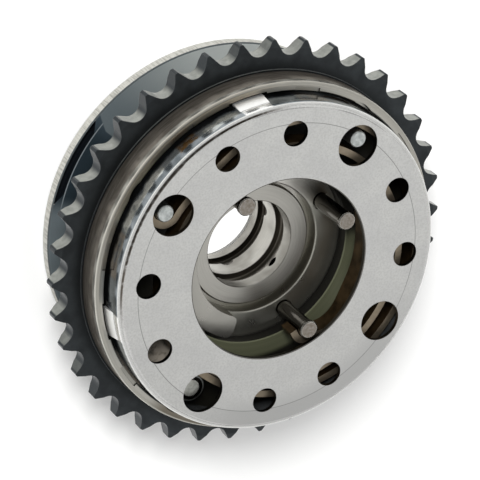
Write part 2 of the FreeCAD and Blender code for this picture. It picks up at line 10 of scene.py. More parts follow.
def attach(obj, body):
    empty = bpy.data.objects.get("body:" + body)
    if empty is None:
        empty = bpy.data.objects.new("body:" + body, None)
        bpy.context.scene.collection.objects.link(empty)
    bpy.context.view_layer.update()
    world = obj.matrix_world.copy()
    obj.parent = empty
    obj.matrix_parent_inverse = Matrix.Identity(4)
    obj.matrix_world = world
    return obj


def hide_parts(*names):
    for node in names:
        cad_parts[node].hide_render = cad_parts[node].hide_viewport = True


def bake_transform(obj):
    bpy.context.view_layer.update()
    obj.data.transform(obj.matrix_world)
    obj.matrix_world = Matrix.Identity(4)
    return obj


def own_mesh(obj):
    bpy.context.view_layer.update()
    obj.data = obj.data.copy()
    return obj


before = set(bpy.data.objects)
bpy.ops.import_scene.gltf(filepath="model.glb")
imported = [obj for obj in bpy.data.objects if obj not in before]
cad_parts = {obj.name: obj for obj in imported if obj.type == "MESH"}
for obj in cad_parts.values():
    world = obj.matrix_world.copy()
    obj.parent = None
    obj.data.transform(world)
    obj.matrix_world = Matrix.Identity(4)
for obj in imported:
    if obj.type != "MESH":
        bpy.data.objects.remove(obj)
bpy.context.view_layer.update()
print("stage: frame loaded,", len(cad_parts), "nodes")


# Materials: helpers

def srgb(hexColour):
    # sRGB hex to the linear values that the shader works in
    channels = [int(hexColour[i:i + 2], 16) / 255 for i in (1, 3, 5)]
    linear = [c / 12.92 if c <= 0.04045 else ((c + 0.055) / 1.055) ** 2.4 for c in channels]
    return (*linear, 1.0)


def addNode(tree, kind, inputs=None, **settings):
    node = tree.nodes.new(kind)
    for name, value in settings.items():
        setattr(node, name, value)
    for socket, source in (inputs or {}).items():
        if isinstance(source, bpy.types.NodeSocket):
            tree.links.new(source, node.inputs[socket])
        else:
            node.inputs[socket].default_value = source
    return node


def startMaterial(name, metallic, roughness):
    material = bpy.data.materials.new(name)
    material.use_nodes = True
    tree = material.node_tree
    tree.nodes.clear()
    shader = addNode(tree, "ShaderNodeBsdfPrincipled", {"Metallic": metallic, "Roughness": roughness})
    addNode(tree, "ShaderNodeOutputMaterial", {"Surface": shader.outputs[0]})
    return material, tree, shader


def placesOn(tree, axisMm=(0.0, 0.0)):
    # where a point of the part lies, in millimetres and degrees round an upright axis
    coords = addNode(tree, "ShaderNodeTexCoord").outputs
    scaled = addNode(tree, "ShaderNodeVectorMath", {0: coords["Object"], "Scale": 1000.0},
                     operation="SCALE").outputs[0]
    mm = addNode(tree, "ShaderNodeVectorMath", {0: scaled, 1: (*axisMm, 0.0)},
                 operation="SUBTRACT").outputs[0]
    x, y, height = addNode(tree, "ShaderNodeSeparateXYZ", {0: mm}).outputs
    flat = addNode(tree, "ShaderNodeCombineXYZ", {0: x, 1: y}).outputs[0]
    radius = addNode(tree, "ShaderNodeVectorMath", {0: flat}, operation="LENGTH").outputs["Value"]
    turn = addNode(tree, "ShaderNodeMath", {0: y, 1: x}, operation="ARCTAN2").outputs[0]
    degrees = addNode(tree, "ShaderNodeMath", {0: turn}, operation="DEGREES").outputs[0]
    angle = addNode(tree, "ShaderNodeMath", {0: degrees, 1: 360.0},
                    operation="FLOORED_MODULO").outputs[0]
    up = addNode(tree, "ShaderNodeSeparateXYZ", {0: coords["Normal"]}).outputs[2]
    tilt = addNode(tree, "ShaderNodeMath", {0: up}, operation="ABSOLUTE").outputs[0]
    # 1 where the surface faces the axis or away from it
    away = addNode(tree, "ShaderNodeVectorMath", {0: flat, 1: coords["Normal"]},
                   operation="DOT_PRODUCT").outputs["Value"]
    share = addNode(tree, "ShaderNodeMath", {0: away, 1: radius}, operation="DIVIDE").outputs[0]
    outward = addNode(tree, "ShaderNodeMath", {0: share}, operation="ABSOLUTE").outputs[0]
    return SimpleNamespace(mm=mm, height=height, radius=radius, angle=angle, up=up, tilt=tilt,
                           outward=outward, normal=coords["Normal"])


def combine(tree, operation, values):
    result = values[0]
    for value in values[1:]:
        result = addNode(tree, "ShaderNodeMath", {0: result, 1: value}, operation=operation).outputs[0]
    return result


def both(tree, *masks):
    # where all the masks meet; a plain number takes a share of them
    return combine(tree, "MULTIPLY", masks)


def either(tree, *masks):
    return combine(tree, "MAXIMUM", masks)


def added(tree, *values):
    return combine(tree, "ADD", values)


def notMask(tree, mask):
    return combine(tree, "SUBTRACT", (1.0, mask))


def above(tree, value, edge, soft):
    # 0 below the edge, 1 above it
    return addNode(tree, "ShaderNodeMapRange", {0: value, 1: edge - soft, 2: edge + soft},
                   interpolation_type="SMOOTHSTEP").outputs[0]


def between(tree, value, limits, soft):
    low, high = limits
    return both(tree, above(tree, value, low, soft), notMask(tree, above(tree, value, high, soft)))


def paint(tree, base, colour, mask):
    # colour over base where the mask is 1; each is a hex value or comes from a node
    under, over = (srgb(c) if isinstance(c, str) else c for c in (base, colour))
    return addNode(tree, "ShaderNodeMix", {0: mask, 6: under, 7: over}, data_type="RGBA").outputs[2]


def cloud(tree, vector, sizeMm, detail=3.0, low=0.35, high=0.65):
    # soft patches about sizeMm across, from 0 to 1
    noise = addNode(tree, "ShaderNodeTexNoise", {"Vector": vector, "Scale": 1.0 / sizeMm,
                                                 "Detail": detail})
    return addNode(tree, "ShaderNodeMapRange", {0: noise.outputs[0], 1: low, 2: high}).outputs[0]


def linesOn(tree, around, height, radius, scale, detail=2.0):
    # noise that the three values stretch into lines
    across = addNode(tree, "ShaderNodeCombineXYZ", {0: around, 1: height, 2: radius}).outputs[0]
    noise = addNode(tree, "ShaderNodeTexNoise", {"Vector": across, "Scale": scale, "Detail": detail})
    return noise.outputs[0]


def latheLines(tree, place, pitchMm):
    # rings round the axis, as a turning tool leaves them, one every pitchMm on faces and walls
    return linesOn(tree, place.radius, place.height, both(tree, place.angle, 0.004), 1.0 / pitchMm)


def streaks(tree, place, radiusMm, lengthMm, widthMm):
    # soft streaks round the axis, as polishing cloth leaves them on a turned wall
    around = both(tree, place.angle, math.radians(1.0) * radiusMm / lengthMm)
    height = both(tree, place.height, 1.0 / widthMm)
    lines = linesOn(tree, around, height, both(tree, place.radius, 1.0 / widthMm), 1.0, detail=3.0)
    return addNode(tree, "ShaderNodeMapRange", {0: lines, 1: 0.33, 2: 0.67}).outputs[0]


def shearLines(tree, place, radiusMm, pitchMm):
    # lines along the axis, 20 times as long as their pitch, as a blanking tool leaves them on a rim
    around = both(tree, place.angle, math.radians(1.0) * radiusMm)
    height, radius = both(tree, place.height, 0.05), both(tree, place.radius, 0.05)
    return linesOn(tree, around, height, radius, 1.0 / pitchMm)


def relief(tree, shader, height, depthMm):
    # surface relief, on edges that are rounded by 0.15 mm
    rounded = addNode(tree, "ShaderNodeBevel", {"Radius": 0.00015}, samples=4)
    bump = addNode(tree, "ShaderNodeBump", {"Height": height, "Distance": depthMm / 1000.0,
                                            "Strength": 1.0, "Normal": rounded.outputs[0]})
    tree.links.new(bump.outputs[0], shader.inputs["Normal"])


def edgeMask(tree, widthMm):
    # 1 on the part's edges, where handling and tumbling change their shade
    rounded = addNode(tree, "ShaderNodeBevel", {"Radius": widthMm / 1000.0}, samples=4).outputs[0]
    face = addNode(tree, "ShaderNodeNewGeometry").outputs["Normal"]
    match = addNode(tree, "ShaderNodeVectorMath", {0: rounded, 1: face},
                    operation="DOT_PRODUCT").outputs["Value"]
    return addNode(tree, "ShaderNodeMapRange", {0: match, 1: 0.99, 2: 0.85}).outputs[0]


# Materials: finishes

coverLook = {
    "face": "#d6d6d3",
    "facePatch": "#cfcfcd",
    "facePatchMm": 7.0,
    "speck": "#bcbcb9",
    "speckMm": 0.45,
    "lowSideShade": "#c2c2c0",
    "lowSideShadeArcDeg": (250.0, 335.0),
    "lowSideShadeFromRadiusMm": 32.5,
    "drawLine": "#8d8d8b",
    "drawLineRadiusMm": 34.9,
    "drawLineHalfWidthMm": 0.07,
    "bendReflection": "#5f5952",
    "bendReflectionArcDeg": (98.0, 188.0),
    "skirt": "#878d91",
    "skirtPatch": "#596064",
    "gapShadow": "#0f1010",
    "gapShadowArcDeg": (84.0, 206.0),
    "gapShadowTopMm": 30.3,
    "tab": "#efefed",
    "tabsDeg": (13.5, 103.5, 195.0, 283.5),
    "tabHalfAngleDeg": 4.8,
    "tabLowMm": 28.6,
    "holeEdge": "#4a463f",
    "inside": "#403d37",
    "faceRoughness": 0.33,
    "skirtRoughness": 0.12,
    "skirtMetallic": 0.85,
    "radiusMm": 39.6,
    "bendRadiusMm": 38.5,
    "openingRadiusMm": 21.76,
    "waveMm": 7.0,
    "rollingGrainMm": 0.25,
    "reliefMm": 0.15,
    # pale and dark patches on the skirt: first and last angle, low and high edge in mm, colour, grain
    # in mm
    "marks": [(139.0, 162.0, 29.6, 32.6, "#c6c9c6", 2.2), (110.0, 122.0, 31.2, 33.6, "#b4b8b6", 1.5),
              (163.0, 178.0, 28.5, 32.8, "#827b73", 3.0), (77.5, 88.0, 28.5, 33.5, "#85817b", 3.0),
              (124.5, 131.5, 29.4, 32.4, "#6f5432", 1.4), (60.0, 77.0, 29.0, 31.0, "#4f3b2a", 2.0)],
}


def drawnSheetSteel():
    # cold-rolled steel sheet, deep drawn: an even pale satin face, and a skirt polished dark by the die
    look = coverLook
    material, tree, shader = startMaterial("drawnSheetSteel", 1.0, look["faceRoughness"])
    place = placesOn(tree)
    colour = paint(tree, look["face"], look["facePatch"], cloud(tree, place.mm, look["facePatchMm"]))
    # fine dull specks from rolling
    specks = cloud(tree, place.mm, look["speckMm"], detail=1.0, low=0.38, high=0.7)
    colour = paint(tree, colour, look["speck"], both(tree, specks, 0.5))
    flat = above(tree, place.up, 0.96, 0.02)
    # painted shade: on one side, from 250° to 335°, the flat face is painted darker towards its edge
    lowSideShaded = both(tree, between(tree, place.angle, look["lowSideShadeArcDeg"], 16.0),
                above(tree, place.radius, look["lowSideShadeFromRadiusMm"], 3.0), flat)
    colour = paint(tree, colour, look["lowSideShade"], lowSideShaded)
    middle, half = look["drawLineRadiusMm"], look["drawLineHalfWidthMm"]
    line = both(tree, between(tree, place.radius, (middle - half, middle + half), 0.03), flat,
                cloud(tree, place.mm, 14.0, low=0.15, high=0.4))
    colour = paint(tree, colour, look["drawLine"], line)
    # painted reflection: a dark, broken line along the bend on one side
    onBend = above(tree, place.radius, look["bendRadiusMm"], 0.2)
    bendReflection = both(tree, between(tree, place.up, (0.8, 0.975), 0.02), onBend,
                between(tree, place.angle, look["bendReflectionArcDeg"], 8.0),
                cloud(tree, place.mm, 1.2, low=0.1, high=0.5))
    colour = paint(tree, colour, look["bendReflection"], bendReflection)

    skirt = both(tree, notMask(tree, above(tree, place.up, 0.3, 0.1)), onBend)
    dark = paint(tree, look["skirt"], look["skirtPatch"], cloud(tree, place.mm, 4.0))
    # the marks have ragged edges, which the noise shifts by up to 1.2 mm either way
    ragged = both(tree, cloud(tree, place.mm, 2.5, low=0.0, high=1.0), 2.4)
    height = added(tree, place.height, -1.2, ragged)
    for first, last, low, high, shade, grainMm in look["marks"]:
        mark = both(tree, between(tree, place.angle, (first, last), 0.8),
                    between(tree, height, (low, high), 0.25),
                    cloud(tree, place.mm, grainMm, low=0.3, high=0.5))
        dark = paint(tree, dark, shade, mark)
    # painted shadow: on one side the foot of the skirt, in the gap beside the rim, is painted near
    # black
    gapShadow = both(tree, between(tree, place.angle, look["gapShadowArcDeg"], 6.0),
                 notMask(tree, above(tree, height, look["gapShadowTopMm"], 0.5)), 0.9)
    dark = paint(tree, dark, look["gapShadow"], gapShadow)
    # painted highlight: where the tabs were pressed out, the skirt is painted near white
    half = look["tabHalfAngleDeg"]
    arcs = [between(tree, place.angle, (middle - half, middle + half), 0.5)
            for middle in look["tabsDeg"]]
    aboveTabFoot = above(tree, place.height, look["tabLowMm"], 0.2)
    dark = paint(tree, dark, look["tab"], both(tree, either(tree, *arcs), aboveTabFoot))
    colour = paint(tree, colour, dark, skirt)
    # painted highlight: the tabs standing out from the skirt are painted near white
    tab = both(tree, above(tree, place.radius, look["radiusMm"] + 0.03, 0.02), aboveTabFoot)
    colour = paint(tree, colour, look["tab"], tab)
    # painted shade: the walls and the lip of the cover's holes are painted dark
    holeWall = both(tree, notMask(tree, above(tree, place.tilt, 0.5, 0.2)),
                    notMask(tree, above(tree, place.radius, look["bendRadiusMm"] - 0.4, 0.1)))
    lip = notMask(tree, above(tree, place.radius, look["openingRadiusMm"] + 0.2, 0.04))
    colour = paint(tree, colour, look["holeEdge"], either(tree, holeWall, both(tree, lip, place.tilt)))
    # painted shade: the underside of the cover is painted dark
    inside = notMask(tree, above(tree, place.up, -0.5, 0.1))
    tree.links.new(paint(tree, colour, look["inside"], inside), shader.inputs["Base Color"])

    bend = both(tree, onBend, notMask(tree, tab))
    rough = addNode(tree, "ShaderNodeMapRange", {0: bend, 3: look["faceRoughness"],
                                                 4: look["skirtRoughness"]})
    tree.links.new(rough.outputs[0], shader.inputs["Roughness"])
    # the scuffed skirt is duller than the face
    scuffed = addNode(tree, "ShaderNodeMapRange", {0: skirt, 3: 1.0, 4: look["skirtMetallic"]})
    tree.links.new(scuffed.outputs[0], shader.inputs["Metallic"])
    # outside the draw line the face falls away by 0.12 mm
    fall = addNode(tree, "ShaderNodeMapRange", {0: place.radius, 1: look["drawLineRadiusMm"],
                                                2: look["bendRadiusMm"], 3: 0.0, 4: -0.8})
    # the die leaves the drawn edge slightly wavy
    wave = both(tree, cloud(tree, place.mm, look["waveMm"], detail=0.0, low=0.0, high=1.0), bend)
    # the face has rolling grain, drawn coarser than it is, so that it shows
    grain = cloud(tree, place.mm, look["rollingGrainMm"], low=0.0, high=1.0)
    grain = both(tree, grain, 0.05, notMask(tree, bend))
    relief(tree, shader, added(tree, wave, grain, fall.outputs[0]), look["reliefMm"])
    return material


rimLook = {
    "rim": "#c4c2ba",
    "band": "#a5a299",
    "bandMm": 1.4,
    "shadedTop": "#a19989",
    "shadedTopArcDeg": (98.0, 162.0),
    "lowSideTop": "#7c766a",
    "lowSideTopArcDeg": (233.0, 264.0),
    "wall": "#6c6760",
    "wallStain": "#4d4841",
    "wallRubbed": "#989288",
    "rubbedMm": 5.0,
    "rubbedFromMm": 25.6,
    "wallLitSide": "#b6b5b0",
    "wallShadedArcDeg": (52.0, 285.0),
    "wallRadiusMm": 42.2,
    "wallTopMm": 27.6,
    "wallRoughness": 0.5,
    "filmMetallic": 0.4,
    "streakLengthMm": 5.0,
    "streakWidthMm": 0.35,
    "markFloor": "#a5a39b",
    "markFloorMm": (28.8, 29.1),
    "markOutline": "#2f2c27",
    "markOutlineMm": (28.8, 29.12),
    "markReachRadiusMm": 41.35,
    "step": "#3a3833",
    "stepRadiiMm": (40.05, 41.3),
    "roughness": 0.28,
    "turningPitchMm": 0.22,
    "grainMm": 0.3,
    "reliefMm": 0.012,
    "innerRadiusMm": 40.0,
    "innerWall": "#34332f",
    "olive": "#6a6c56",
    "oliveDark": "#575a46",
    "oliveRingMm": 0.8,
    "oliveEdgeRadiusMm": 26.2,
    "underCover": "#1b1a15",
    "underCoverArcDeg": (6.0, 190.0),
    "bareSpot": "#a89f92",
    "bareSpotArcDeg": (210.0, 228.0),
    "bareSpotFromRadiusMm": 29.5,
}


def turnedRimSteel():
    # carbon steel, turned and polished on the rim; the sealing face inside keeps its olive phosphate
    look = rimLook
    material, tree, shader = startMaterial("turnedRimSteel", 1.0, look["roughness"])
    place = placesOn(tree)
    lines = latheLines(tree, place, look["turningPitchMm"])
    rings = latheLines(tree, place, look["bandMm"])
    bands = addNode(tree, "ShaderNodeMapRange", {0: rings, 1: 0.35, 2: 0.65}).outputs[0]
    colour = paint(tree, look["rim"], look["band"], bands)
    # painted shade: beside the gap on one side the rim's top is painted a darker brown-grey
    top = above(tree, place.up, 0.5, 0.2)
    shadedTop = both(tree, between(tree, place.angle, look["shadedTopArcDeg"], 12.0), top)
    colour = paint(tree, colour, look["shadedTop"], shadedTop)
    # the rim's top is darker and browner from 233° to 264°
    lowSideTop = both(tree, between(tree, place.angle, look["lowSideTopArcDeg"], 5.0), top)
    colour = paint(tree, colour, look["lowSideTop"], lowSideTop)
    stains = streaks(tree, place, look["wallRadiusMm"], look["streakLengthMm"], look["streakWidthMm"])
    wall = paint(tree, look["wall"], look["wallStain"], stains)
    # rubbing has left it pale in cloudy patches towards its edge
    rubbed = both(tree, cloud(tree, place.mm, look["rubbedMm"], low=0.4, high=0.6),
                  above(tree, place.height, look["rubbedFromMm"], 1.2), 0.65)
    wall = paint(tree, wall, look["wallRubbed"], rubbed)
    # painted light and shade: the wall is painted bright silver outside this arc and darker within it
    litWallSide = notMask(tree, between(tree, place.angle, look["wallShadedArcDeg"], 12.0))
    wall = paint(tree, wall, look["wallLitSide"], litWallSide)
    side = notMask(tree, top)
    lowWall = both(tree, side, notMask(tree, above(tree, place.height, look["wallTopMm"], 0.5)))
    colour = paint(tree, colour, wall, lowWall)
    onRim = above(tree, place.radius, look["innerRadiusMm"], 0.05)
    level = above(tree, place.up, 0.6, 0.1)
    markFloor = both(tree, onRim, between(tree, place.height, look["markFloorMm"], 0.03), level)
    colour = paint(tree, colour, look["markFloor"], markFloor)
    # each mark has a dark outline along its edges
    outline = both(tree, onRim, between(tree, place.height, look["markOutlineMm"], 0.02),
                   edgeMask(tree, 0.15),
                   notMask(tree, above(tree, place.radius, look["markReachRadiusMm"], 0.05)))
    colour = paint(tree, colour, look["markOutline"], outline)
    # painted shade: the rim's steps that face sideways are painted near black
    step = both(tree, between(tree, place.radius, look["stepRadiiMm"], 0.05), side)
    colour = paint(tree, colour, look["step"], step)

    inside = both(tree, notMask(tree, onRim), level)
    olive = paint(tree, look["olive"], look["oliveDark"], latheLines(tree, place, look["oliveRingMm"]))
    shaded = either(tree, above(tree, place.radius, look["oliveEdgeRadiusMm"], 0.8),
                    between(tree, place.angle, look["underCoverArcDeg"], 4.0))
    floor = paint(tree, olive, look["underCover"], shaded)
    spot = both(tree, between(tree, place.angle, look["bareSpotArcDeg"], 1.5),
                above(tree, place.radius, look["bareSpotFromRadiusMm"], 0.8),
                cloud(tree, place.mm, 1.6, low=0.2, high=0.5))
    floor = paint(tree, floor, look["bareSpot"], spot)
    colour = paint(tree, colour, floor, inside)
    # painted shade: the walls inside the rim, under the cover, are painted near black
    innerWall = both(tree, notMask(tree, onRim), notMask(tree, level))
    tree.links.new(paint(tree, colour, look["innerWall"], innerWall), shader.inputs["Base Color"])

    rough = addNode(tree, "ShaderNodeMapRange", {0: either(tree, inside, lowWall), 3: look["roughness"],
                                                 4: look["wallRoughness"]}).outputs[0]
    tree.links.new(added(tree, rough, both(tree, bands, 0.08)), shader.inputs["Roughness"])
    # oxide films on the wall and the phosphate are less of a metal to the eye
    tinted = either(tree, inside, both(tree, lowWall, 0.35))
    metal = addNode(tree, "ShaderNodeMapRange", {0: tinted, 3: 1.0, 4: look["filmMetallic"]})
    tree.links.new(metal.outputs[0], shader.inputs["Metallic"])
    grain = both(tree, cloud(tree, place.mm, look["grainMm"], low=0.0, high=1.0), lowWall)
    relief(tree, shader, added(tree, lines, grain), look["reliefMm"])
    return material


sprocketLook = {
    "oxide": "#303335",
    "oxidePale": "#3b3f41",
    "oxidePatchMm": 3.5,
    "innerRing": "#26292a",
    "innerRingRadiusMm": 43.6,
    "flank": "#969892",
    "flankShaded": "#282d30",
    "flankRadiusMm": 36.5,
    "tipRadiusMm": 48.75,
    "flankLitFrom": (-0.17, 0.98, 0.0),
    "wornEdge": "#6d7172",
    "metallic": 0.85,
    "roughness": 0.5,
    "flankRoughness": 0.3,
    "powderGrainMm": 0.3,  # really about 0.1 mm, drawn coarser so that it shows
    "reliefMm": 0.012,
}


def steamTreatedSteel():
    # sintered steel, steam treated: blue-black and matt, with tooth flanks sized bright
    look = sprocketLook
    material, tree, shader = startMaterial("steamTreatedSteel", look["metallic"], look["roughness"])
    place = placesOn(tree)
    colour = paint(tree, look["oxide"], look["oxidePale"], cloud(tree, place.mm, look["oxidePatchMm"]))
    ring = notMask(tree, above(tree, place.radius, look["innerRingRadiusMm"], 1.4))
    colour = paint(tree, colour, look["innerRing"], ring)
    steep = notMask(tree, above(tree, place.tilt, 0.35, 0.12))
    flank = both(tree, steep, above(tree, place.radius, look["flankRadiusMm"], 0.3))
    # painted light and shade: the flanks that face one side are painted pale, as if lit, and the others
    # dark
    facing = addNode(tree, "ShaderNodeVectorMath", {0: place.normal, 1: look["flankLitFrom"]},
                     operation="DOT_PRODUCT").outputs["Value"]
    litFlanks = both(tree, above(tree, facing, 0.68, 0.28),
                   notMask(tree, above(tree, place.radius, look["tipRadiusMm"], 0.15)))
    bright = paint(tree, look["flankShaded"], look["flank"], litFlanks)
    bright = paint(tree, bright, look["flankShaded"], both(tree, cloud(tree, place.mm, 1.5), 0.3))
    colour = paint(tree, colour, bright, flank)
    colour = paint(tree, colour, look["wornEdge"], both(tree, edgeMask(tree, 0.25), 0.5))
    tree.links.new(colour, shader.inputs["Base Color"])
    rough = addNode(tree, "ShaderNodeMapRange", {0: flank, 3: look["roughness"],
                                                 4: look["flankRoughness"]})
    tree.links.new(rough.outputs[0], shader.inputs["Roughness"])
    grain = cloud(tree, place.mm, look["powderGrainMm"], low=0.2, high=0.8)
    relief(tree, shader, grain, look["reliefMm"])
    return material


wheelLook = {
    "face": "#c6cbc8",
    "faceDark": "#bac0be",
    "facePatchMm": 12.0,
    "shadeTowardsPocket": "#6f797d",
    "shadeTowardsPocketDeg": 115.0,
    "shadeTowardsPocketSoftDeg": 22.0,
    "pocketSideShade": "#2c373e",
    "pocketSideShadePale": "#46525a",
    "pocketSideShadePaleToDeg": 143.0,
    "pocketSideShadeAnglesDeg": (142.0, 171.5),
    # the painted shade beside the pocket starts in a bow: from and to this radius its edge shifts by so
    # many degrees
    "bowRadiiMm": (37.5, 42.0),
    "bowDeg": 3.4,
    "pocket": "#15191e",
    "pocketArcDeg": (130.0, 180.0),
    "pocketRadiiMm": (38.9, 41.6),
    "pocketHeightsMm": (1.0, 2.85),
    "pocketEdgeHighlight": "#959da1",
    "rimLineRadiiMm": (39.33, 39.57),
    "chamfer": "#4a5052",
    "rim": "#bfbeb7",
    "rimDark": "#9b9a93",
    "rimRadiusMm": 42.0,
    "rimFromRadiusMm": 41.3,
    "rimRoughness": 0.55,
    "shearPitchMm": 0.3,
    "metallic": 0.35,
    "roughness": 0.4,
    "grainMm": 0.4,
    "reliefMm": 0.03,
}


def blankedSteel():
    # hot-rolled steel, blanked and washed: smooth blue-grey faces, and lines along its pale sheared rim
    look = wheelLook
    material, tree, shader = startMaterial("blankedSteel", look["metallic"], look["roughness"])
    place = placesOn(tree)
    colour = paint(tree, look["face"], look["faceDark"], cloud(tree, place.mm, look["facePatchMm"]))
    # painted shade: the face is painted darker towards the pocket
    shadedToPocket = above(tree, place.angle, look["shadeTowardsPocketDeg"], look["shadeTowardsPocketSoftDeg"])
    colour = paint(tree, colour, look["shadeTowardsPocket"], shadedToPocket)
    # painted shade: beside the pocket the face is painted dark blue-grey, paler where the shade begins
    inner, outer = look["bowRadiiMm"]
    bow = addNode(tree, "ShaderNodeMapRange", {0: place.radius, 1: inner, 2: outer, 3: 0.0,
                                               4: look["bowDeg"]}).outputs[0]
    first, last = look["pocketSideShadeAnglesDeg"]
    shadeBesidePocket = both(tree, above(tree, added(tree, place.angle, bow), first, 0.25),
                notMask(tree, above(tree, place.angle, last, 4.0)))
    scale = paint(tree, look["pocketSideShadePale"], look["pocketSideShade"],
                  above(tree, place.angle, look["pocketSideShadePaleToDeg"], 5.0))
    colour = paint(tree, colour, scale, shadeBesidePocket)
    # painted shade: the pocket is painted near black inside
    bottom, top = look["pocketHeightsMm"]
    deep = both(tree, between(tree, place.angle, look["pocketArcDeg"], 1.0),
                between(tree, place.radius, look["pocketRadiiMm"], 0.05),
                above(tree, place.height, bottom, 0.1),
                notMask(tree, above(tree, place.height, top, 0.03)))
    colour = paint(tree, colour, look["pocket"], deep)
    # painted highlight: a pale line along the pocket's inner edge
    pocketEdgeHighlight = both(tree, shadeBesidePocket, between(tree, place.radius, look["rimLineRadiiMm"], 0.04),
                   above(tree, place.up, 0.8, 0.1))
    colour = paint(tree, colour, look["pocketEdgeHighlight"], pocketEdgeHighlight)
    onRim = above(tree, place.radius, look["rimFromRadiusMm"], 0.05)
    # painted shade: the chamfer on the rim is painted dark
    chamfer = both(tree, between(tree, place.up, (0.4, 0.9), 0.1), onRim)
    colour = paint(tree, colour, look["chamfer"], chamfer)
    edge = both(tree, notMask(tree, above(tree, place.tilt, 0.4, 0.1)), onRim)
    lines = shearLines(tree, place, look["rimRadiusMm"], look["shearPitchMm"])
    shear = paint(tree, look["rim"], look["rimDark"], above(tree, lines, 0.55, 0.1))
    tree.links.new(paint(tree, colour, shear, edge), shader.inputs["Base Color"])
    rough = addNode(tree, "ShaderNodeMapRange", {0: either(tree, edge, chamfer), 3: look["roughness"],
                                                 4: look["rimRoughness"]})
    tree.links.new(rough.outputs[0], shader.inputs["Roughness"])
    grain = both(tree, cloud(tree, place.mm, look["grainMm"], low=0.0, high=1.0), 0.15)
    relief(tree, shader, added(tree, grain, both(tree, lines, edge)), look["reliefMm"])
    return material


rotorLook = {
    "face": "#d6d4cd",
    "faceDark": "#cecbc4",
    "darkerSide": "#b1b0a6",
    "paleSideArcDeg": (42.0, 235.0),
    "pad": "#aeaca5",
    "padFromMm": 25.6,
    "wornEdge": "#8b8982",
    "recessWall": "#868278",
    "recessRadiusMm": 15.9,
    "recessFromMm": 19.0,
    "drilling": "#12110f",
    "drillingToRadiusMm": 16.4,
    "drillingTopMm": 18.4,
    "metallic": 0.96,
    "roughness": 0.3,
    "grindPitchMm": 0.3,
    "reliefMm": 0.003,
}


def groundSinteredSteel():
    # sintered steel, faced and ground: a grey satin with fine rings, duller on the raised pad
    look = rotorLook
    material, tree, shader = startMaterial("groundSinteredSteel", look["metallic"], look["roughness"])
    place = placesOn(tree)
    lines = latheLines(tree, place, look["grindPitchMm"])
    colour = paint(tree, look["face"], look["faceDark"], above(tree, lines, 0.52, 0.12))
    # the face is darker on one side, from 235° round to 42°
    tinted = notMask(tree, between(tree, place.angle, look["paleSideArcDeg"], 14.0))
    colour = paint(tree, colour, look["darkerSide"], tinted)
    colour = paint(tree, colour, look["pad"], above(tree, place.height, look["padFromMm"], 0.2))
    edges = edgeMask(tree, 0.2)
    colour = paint(tree, colour, look["wornEdge"], both(tree, edges, 0.6))
    # painted shade: the wall of the recess round the boss is painted darker
    wall = both(tree, notMask(tree, above(tree, place.up, 0.4, 0.1)),
                above(tree, place.height, look["recessFromMm"], 0.5),
                notMask(tree, above(tree, place.radius, look["recessRadiusMm"] + 0.2, 0.1)))
    colour = paint(tree, colour, look["recessWall"], wall)
    # painted shade: the drillings are painted black inside
    drilling = both(tree, notMask(tree, above(tree, place.radius, look["drillingToRadiusMm"], 0.2)),
                    notMask(tree, above(tree, place.height, look["drillingTopMm"], 0.1)))
    tree.links.new(paint(tree, colour, look["drilling"], drilling), shader.inputs["Base Color"])
    rough = addNode(tree, "ShaderNodeMapRange", {0: cloud(tree, place.mm, 6.0),
                                                 3: look["roughness"] - 0.03,
                                                 4: look["roughness"] + 0.05}).outputs[0]
    tree.links.new(added(tree, rough, both(tree, edges, 0.25)), shader.inputs["Roughness"])
    relief(tree, shader, lines, look["reliefMm"])
    return material


sleeveLook = {
    "metal": "#bcbab3",
    "shade": "#b4b2ab",
    "honedBand": "#7f7c75",
    "honedBandMm": 9.0,
    "grooveWall": "#5c5850",
    "grooveFloor": "#b0aca4",
    "grooveFromRadiusMm": 10.75,
    "grooveFloorRadiusMm": 11.9,
    "groovesMm": (3.4, 18.6),
    "drilling": "#12110f",
    "drillingRadiusMm": 12.3,
    "boreRadiusMm": 10.6,
    "betweenGroovesMm": (8.08, 13.4),
    "pastGroovesMm": 17.5,
    "roughness": 0.34,
    "turningPitchMm": 0.18,
    "reliefMm": 0.003,
}


def fineTurnedSteel():
    # alloy steel, fine turned and honed in the bore: pale, with close rings
    look = sleeveLook
    material, tree, shader = startMaterial("fineTurnedSteel", 1.0, look["roughness"])
    place = placesOn(tree)
    lines = latheLines(tree, place, look["turningPitchMm"])
    colour = paint(tree, look["metal"], look["shade"], above(tree, lines, 0.53, 0.1))
    # the honing stone leaves broad paler and darker bands along the bore
    deeper = above(tree, place.radius, look["grooveFromRadiusMm"], 0.06)
    honed = both(tree, notMask(tree, deeper),
                 cloud(tree, place.mm, look["honedBandMm"], low=0.4, high=0.7))
    colour = paint(tree, colour, look["honedBand"], honed)
    # old oil and painted shade darken the grooves, most on their walls, and the drillings are painted
    # black inside as shade
    height = between(tree, place.height, look["groovesMm"], 0.1)
    colour = paint(tree, colour, look["grooveWall"], both(tree, deeper, height))
    floor = both(tree, above(tree, place.radius, look["grooveFloorRadiusMm"], 0.1), height)
    colour = paint(tree, colour, look["grooveFloor"], floor)
    hole = both(tree, notMask(tree, above(tree, place.outward, 0.5, 0.2)),
                notMask(tree, above(tree, place.tilt, 0.95, 0.03)),
                above(tree, place.radius, look["boreRadiusMm"] + 0.1, 0.05))
    deep = above(tree, place.radius, look["drillingRadiusMm"], 0.04)
    # beside a groove only the wall of a drilling lies deeper than the bore
    beside = either(tree, between(tree, place.height, look["betweenGroovesMm"], 0.04),
                    above(tree, place.height, look["pastGroovesMm"], 0.04))
    beside = both(tree, beside, above(tree, place.radius, look["grooveFromRadiusMm"], 0.05))
    drilling = both(tree, either(tree, hole, deep, beside), height)
    tree.links.new(paint(tree, colour, look["drilling"], drilling), shader.inputs["Base Color"])
    relief(tree, shader, lines, look["reliefMm"])
    return material


